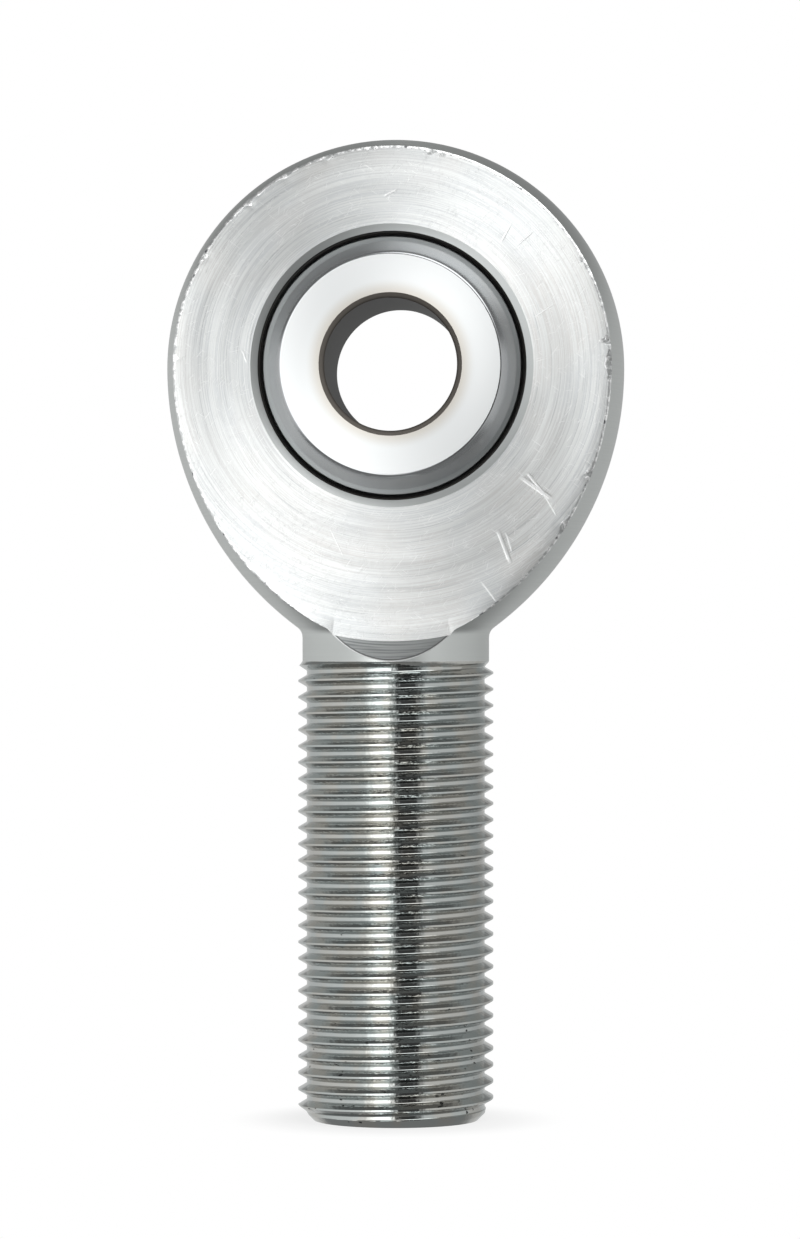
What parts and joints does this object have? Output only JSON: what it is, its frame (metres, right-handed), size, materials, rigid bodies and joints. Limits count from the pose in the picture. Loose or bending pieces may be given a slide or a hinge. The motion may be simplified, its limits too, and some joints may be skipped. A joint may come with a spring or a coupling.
{
  "type": "rod end bearing",
  "caption": "Male rod end: a threaded aluminium shank and eye holding a lined race and a hard ball with a through bore that swivels and tilts.",
  "frame": {"origin": "centre of the ball, which is also the middle of its bore", "axes": "+Y along the bore, square to the two flats of the eye; +Z away from the shank, so the threaded shank hangs along -Z; +X completes the set"},
  "size_m": [0.0444, 0.019, 0.0952],
  "materials": {
    "body_aluminium": "turned aluminium, uncoated",
    "race_steel": "ground steel",
    "liner_ptfe": "woven PTFE fabric, dark",
    "ball_chrome": "hard chrome, ground end faces"
  },
  "bodies": {
    "body": {"rod_end_body": "body_aluminium", "race": "race_steel"},
    "liner": {"liner": "liner_ptfe"},
    "ball": {"ball": "ball_chrome"}
  },
  "joints": [
    {"name": "ball_spin", "type": "hinge", "parent": "body", "child": "liner", "pos_m": [0, 0, 0], "axis": [0, 1, 0], "continuous": true},
    {"name": "ball_tilt", "type": "hinge", "parent": "liner", "child": "ball", "pos_m": [0, 0, 0], "axis": [1, 0, 0], "range_deg": [-13.5, 13.5]}
  ]
}
